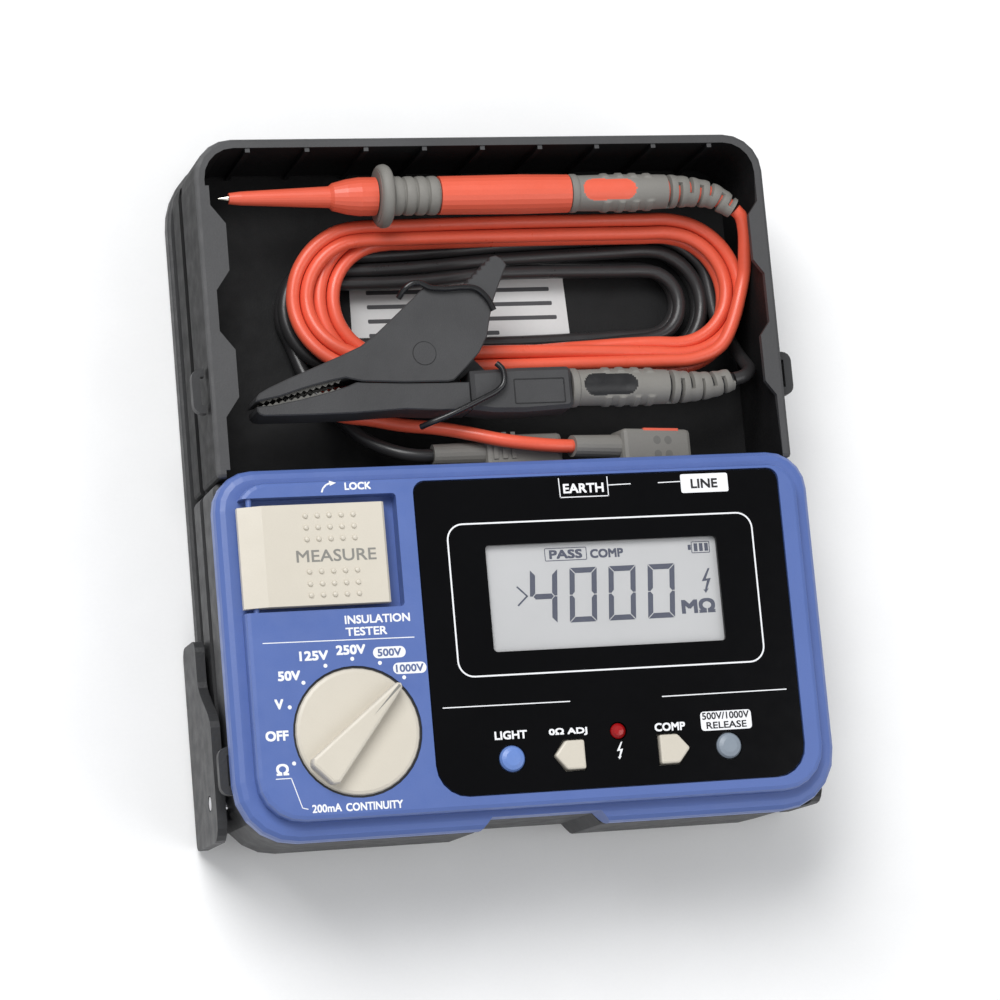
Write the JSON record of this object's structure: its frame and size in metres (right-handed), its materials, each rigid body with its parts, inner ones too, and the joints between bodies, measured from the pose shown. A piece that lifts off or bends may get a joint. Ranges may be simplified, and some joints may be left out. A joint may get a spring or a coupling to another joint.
{
  "type": "insulation resistance tester",
  "caption": "Hand-held insulation tester with rotary selector, hinged test key and display, a lead tray holding a probe and a clip lead, and a hard cover folded behind.",
  "frame": {"origin": "middle of the outline, on the outside face of the cover folded behind the instrument, which is what it lies on", "axes": "+Z out of the front face, +Y from the instrument towards the lead tray, +X to the right seen from the front"},
  "size_m": [0.1588, 0.1836, 0.0546],
  "materials": {
    "blue_plastic": "satin, faintly textured",
    "black_plastic": "fine matt texture",
    "gloss_black": "glossy",
    "ivory_plastic": "satin",
    "blue_button": "satin",
    "grey_button": "satin",
    "red_lens": "glossy",
    "display_grey": "glossy liquid crystal display",
    "clear": "clear",
    "board_green": "solder mask",
    "steel": "plated",
    "brass": "plated",
    "ferrite": "taped core",
    "cell_jacket": "printed sleeve",
    "probe_red": "satin",
    "grey_rubber": "matt",
    "black_rubber": "satin"
  },
  "bodies": {
    "base": {"lower_case": "black_plastic", "lead_tray": "black_plastic", "front_case": "blue_plastic", "front_panel": "gloss_black", "display_window": "clear", "display_module": "display_grey", "main_board": "board_green", "rotary_switch": "black_plastic", "measure_key_pin": "blue_plastic", "measure_switch": "ivory_plastic", "step_up_transformer": "ferrite", "battery_1": "cell_jacket", "battery_2": "cell_jacket", "battery_3": "cell_jacket", "battery_4": "cell_jacket", "battery_cover": "black_plastic", "battery_cover_screw": "steel", "case_screw_1": "steel", "case_screw_2": "steel", "case_screw_3": "steel", "case_screw_4": "steel", "earth_terminal": "black_plastic", "line_terminal": "probe_red", "warning_led": "red_lens", "strap_loop_upper_left": "black_plastic", "strap_loop_upper_right": "black_plastic", "strap_loop_lower_left": "black_plastic", "strap_loop_lower_right": "black_plastic", "probe_tip": "brass", "probe_body": "probe_red", "probe_finger_guard": "grey_rubber", "probe_strain_relief": "grey_rubber", "red_coil": "probe_red", "red_cord_from_probe": "probe_red", "red_cord_to_plug": "probe_red", "red_plug": "grey_rubber", "clip_lower_jaw": "black_rubber", "clip_pivot_pin": "black_plastic", "clip_bail": "black_rubber", "clip_strain_relief": "grey_rubber", "black_coil": "black_rubber", "black_cord_from_clip": "black_rubber", "black_cord_to_plug": "black_rubber", "black_plug": "grey_rubber"},
    "selector": {"selector_knob": "ivory_plastic", "selector_shaft": "steel"},
    "measure_key": {"measure_key": "ivory_plastic"},
    "light_button": {"light_button": "blue_button"},
    "release_button": {"release_button": "grey_button"},
    "zero_adjust_button": {"zero_adjust_button": "ivory_plastic"},
    "comparator_button": {"comparator_button": "ivory_plastic"},
    "groove_pins": {"groove_pin_left": "steel", "groove_pin_right": "steel"},
    "hinge_arms": {"hinge_arm_left": "black_plastic", "hinge_arm_right": "black_plastic"},
    "cover": {"cover": "black_plastic"},
    "clip_upper_jaw": {"clip_upper_jaw": "black_rubber"}
  },
  "joints": [
    {"name": "selector_turn", "type": "hinge", "parent": "base", "child": "selector", "pos_m": [-0.047, -0.06635, 0.05], "axis": [0, 0, 1], "range_deg": [0, 157.5]},
    {"name": "measure_key_turn", "type": "hinge", "parent": "base", "child": "measure_key", "pos_m": [-0.0695, -0.02265, 0.049], "axis": [0, -1, 0], "range_deg": [-3, 40], "stiffness_Nm_per_rad": 0.15},
    {"name": "light_button_press", "type": "slide", "parent": "base", "child": "light_button", "axis": [0, 0, -1], "range_m": [0, 0.001], "stiffness_N_per_m": 900},
    {"name": "zero_adjust_button_press", "type": "slide", "parent": "base", "child": "zero_adjust_button", "axis": [0, 0, -1], "range_m": [0, 0.001], "stiffness_N_per_m": 900},
    {"name": "comparator_button_press", "type": "slide", "parent": "base", "child": "comparator_button", "axis": [0, 0, -1], "range_m": [0, 0.001], "stiffness_N_per_m": 900},
    {"name": "release_button_press", "type": "slide", "parent": "base", "child": "release_button", "axis": [0, 0, -1], "range_m": [0, 0.001], "stiffness_N_per_m": 900},
    {"name": "cover_slide", "type": "slide", "parent": "base", "child": "groove_pins", "axis": [0, 1, 0], "range_m": [0, 0.1545]},
    {"name": "arm_swing", "type": "hinge", "parent": "groove_pins", "child": "hinge_arms", "pos_m": [0, -0.079, 0.0215], "axis": [-1, 0, 0], "range_deg": [0, 61]},
    {"name": "cover_tilt", "type": "hinge", "parent": "hinge_arms", "child": "cover", "pos_m": [0, -0.044, 0.0026], "axis": [-1, 0, 0], "range_deg": [-61, 0]},
    {"name": "clip_open", "type": "hinge", "parent": "base", "child": "clip_upper_jaw", "pos_m": [-0.0203, 0.0285, 0.0375], "axis": [0, 0, -1], "range_deg": [0, 10], "stiffness_Nm_per_rad": 0.6}
  ],
  "couplings": [
    {"joint": "cover_tilt", "follows": "arm_swing", "ratio": -1}
  ]
}
